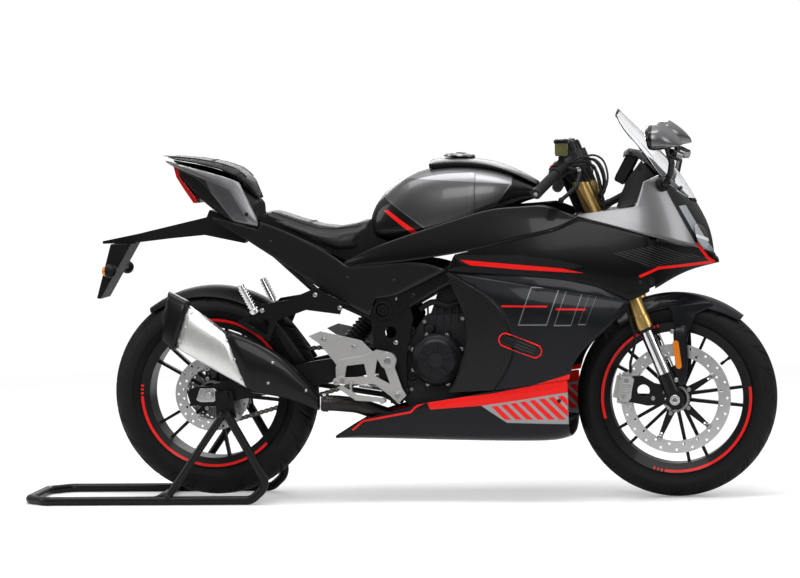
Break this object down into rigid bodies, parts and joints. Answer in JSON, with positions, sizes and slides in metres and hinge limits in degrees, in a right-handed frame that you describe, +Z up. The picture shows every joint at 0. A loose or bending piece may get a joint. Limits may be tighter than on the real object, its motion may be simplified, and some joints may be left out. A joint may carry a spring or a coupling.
{
  "type": "sport motorcycle on rear paddock stand",
  "caption": "Faired sport motorcycle with stepped seats, upside-down fork, disc brakes and twin-spoke wheels, held upright by a tubular rear paddock stand.",
  "frame": {"origin": "middle of the overall box, on the floor", "axes": "+X forward, +Y to the rider's left, +Z up"},
  "size_m": [2.2277, 0.744, 1.141],
  "materials": {
    "black_frame": "satin black powder coat",
    "engine_metal": "cast, grey lacquer",
    "cover_metal": "cast, dark grey lacquer",
    "pipe_steel": "bare stainless",
    "can_steel": "brushed",
    "black_plastic": "moulded, fine grain",
    "gloss_black": "gloss lacquer over woven pattern",
    "charcoal": "gloss charcoal lacquer with red stripes",
    "silver_paint": "metallic silver lacquer",
    "tank_paint": "gloss charcoal lacquer",
    "seat_cover": "grained cover",
    "tyre_rubber": "road compound",
    "wheel_paint": "gloss black with rim stripes",
    "disc_steel": "ground, drilled",
    "chain_steel": "oiled links",
    "spring_paint": "dark powder coat",
    "cast_grey": "bead blasted",
    "polished": "polished",
    "caliper_metal": "clear anodised",
    "gold": "gold anodised",
    "hard_chrome": "ground and plated",
    "lamp_clear": "clear lens",
    "lamp_red": "red lens",
    "screen": "light smoke",
    "fluid_pot": "translucent",
    "grip_rubber": "moulded rubber"
  },
  "bodies": {
    "chassis": {"main_frame": "black_frame", "rear_subframe": "black_frame", "engine": "engine_metal", "engine_covers": "cover_metal", "radiator": "black_frame", "exhaust_pipe": "pipe_steel", "muffler": "can_steel", "muffler_shield": "black_frame", "swingarm": "black_frame", "rear_shock": "spring_paint", "chain": "chain_steel", "rear_hugger": "black_plastic", "rear_caliper": "cover_metal", "rear_axle": "polished", "rearset_plates": "cast_grey", "foot_controls": "cover_metal", "pillion_hangers": "black_frame", "pillion_pegs": "polished", "fuel_tank": "tank_paint", "tank_panels": "silver_paint", "tank_cover": "gloss_black", "tank_surround": "black_plastic", "rider_seat": "seat_cover", "pillion_seat": "seat_cover", "tail_unit": "black_plastic", "tail_cowl": "silver_paint", "tail_lamp": "lamp_red", "plate_hanger": "black_plastic", "side_covers": "charcoal", "side_fairings": "charcoal", "duct_panels": "gloss_black", "upper_fairing": "gloss_black", "belly_pan": "charcoal", "nose_cowl": "silver_paint", "nose_lower": "charcoal", "headlamps": "lamp_clear", "windscreen": "screen", "cockpit": "black_plastic", "mirrors": "black_plastic", "paddock_stand": "black_frame"},
    "front_end": {"fork_tubes": "gold", "fork_stanchions": "hard_chrome", "fork_lugs": "black_frame", "yokes": "cover_metal", "clip_ons": "cover_metal", "grips": "grip_rubber", "hand_controls": "black_plastic", "brake_reservoir": "fluid_pot", "brake_hose": "grip_rubber", "front_fender": "charcoal", "front_caliper": "caliper_metal", "front_axle": "polished"},
    "front_wheel": {"front_tyre": "tyre_rubber", "front_rim": "wheel_paint", "front_disc": "disc_steel"},
    "rear_wheel": {"rear_tyre": "tyre_rubber", "rear_rim": "wheel_paint", "rear_disc": "disc_steel", "rear_sprocket": "chain_steel"},
    "side_stand": {"side_stand": "black_frame"}
  },
  "joints": [
    {"name": "steering", "type": "hinge", "parent": "chassis", "child": "front_end", "pos_m": [0.53705, 0, 0.9], "axis": [-0.3827, 0, 0.9239], "range_deg": [-25, 25]},
    {"name": "front_wheel_spin", "type": "hinge", "parent": "front_end", "child": "front_wheel", "pos_m": [0.82095, 0, 0.293], "axis": [0, 1, 0], "continuous": true},
    {"name": "rear_wheel_spin", "type": "hinge", "parent": "chassis", "child": "rear_wheel", "pos_m": [-0.54895, 0, 0.32], "axis": [0, 1, 0], "continuous": true},
    {"name": "side_stand_fold", "type": "hinge", "parent": "chassis", "child": "side_stand", "pos_m": [-0.02895, 0.166, 0.286], "axis": [-0.0778, -0.8739, -0.4799], "range_deg": [0, 112]}
  ]
}
